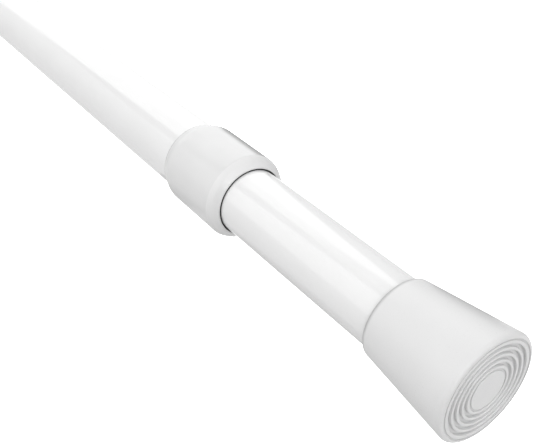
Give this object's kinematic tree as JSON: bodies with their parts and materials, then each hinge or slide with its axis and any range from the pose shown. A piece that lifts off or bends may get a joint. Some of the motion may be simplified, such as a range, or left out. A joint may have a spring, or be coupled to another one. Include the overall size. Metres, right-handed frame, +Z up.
{
  "type": "spring tension rod",
  "caption": "Telescoping white steel rod with tapered rubber feet and a collar, wedged between walls by its inner spring and twist lock to hang curtains or clothes.",
  "frame": {"origin": "centre of the thick tube's foot, on the plane where its face meets the wall", "axes": "+X along the rod from the thick tube's foot to the thin tube's foot, +Z up, +Y to complete a right-handed frame"},
  "size_m": [0.472, 0.0316, 0.0316],
  "materials": {
    "tube_paint": "gloss white paint on steel tube",
    "collar_plastic": "satin white moulded plastic",
    "foot_rubber": "matte white rubber",
    "lock_nylon": "natural nylon",
    "bush_nylon": "black nylon",
    "ring_rubber": "black rubber",
    "spring_steel": "drawn spring wire",
    "zinc_steel": "bright zinc plate"
  },
  "bodies": {
    "outer": {"outer_foot": "foot_rubber", "outer_end_plug": "lock_nylon", "outer_tube": "tube_paint", "collar": "collar_plastic", "mouth_bush": "bush_nylon"},
    "lock_sleeve": {"expander_sleeve": "lock_nylon", "friction_ring": "ring_rubber"},
    "lock_nut": {"wedge_nut": "lock_nylon"},
    "lock_spindle": {"spindle": "zinc_steel", "stop_washer": "zinc_steel", "stop_clip": "spring_steel", "thrust_washer": "zinc_steel", "spring_seat": "zinc_steel", "spring": "spring_steel", "shank_washer": "zinc_steel", "shank_clip": "spring_steel"},
    "inner": {"guide_plug": "lock_nylon", "plug_rivets": "zinc_steel", "inner_tube": "tube_paint", "inner_end_plug": "lock_nylon", "inner_foot": "foot_rubber"}
  },
  "joints": [
    {"name": "telescope", "type": "slide", "parent": "outer", "child": "lock_sleeve", "axis": [1, 0, 0], "range_m": [-0.046, 0.138]},
    {"name": "twist_lock", "type": "hinge", "parent": "lock_sleeve", "child": "lock_spindle", "pos_m": [0.104, 0, 0], "axis": [1, 0, 0], "range_deg": [0, 720]},
    {"name": "wedge_travel", "type": "slide", "parent": "lock_sleeve", "child": "lock_nut", "axis": [1, 0, 0], "range_m": [-0.004, 0]},
    {"name": "spring_press", "type": "slide", "parent": "lock_spindle", "child": "inner", "axis": [1, 0, 0], "range_m": [-0.02, 0], "stiffness_N_per_m": 4360, "springref_m": 0.002, "deforming": ["spring"]}
  ],
  "couplings": [
    {"joint": "wedge_travel", "follows": "twist_lock", "m_per_rad": -0.000318}
  ]
}
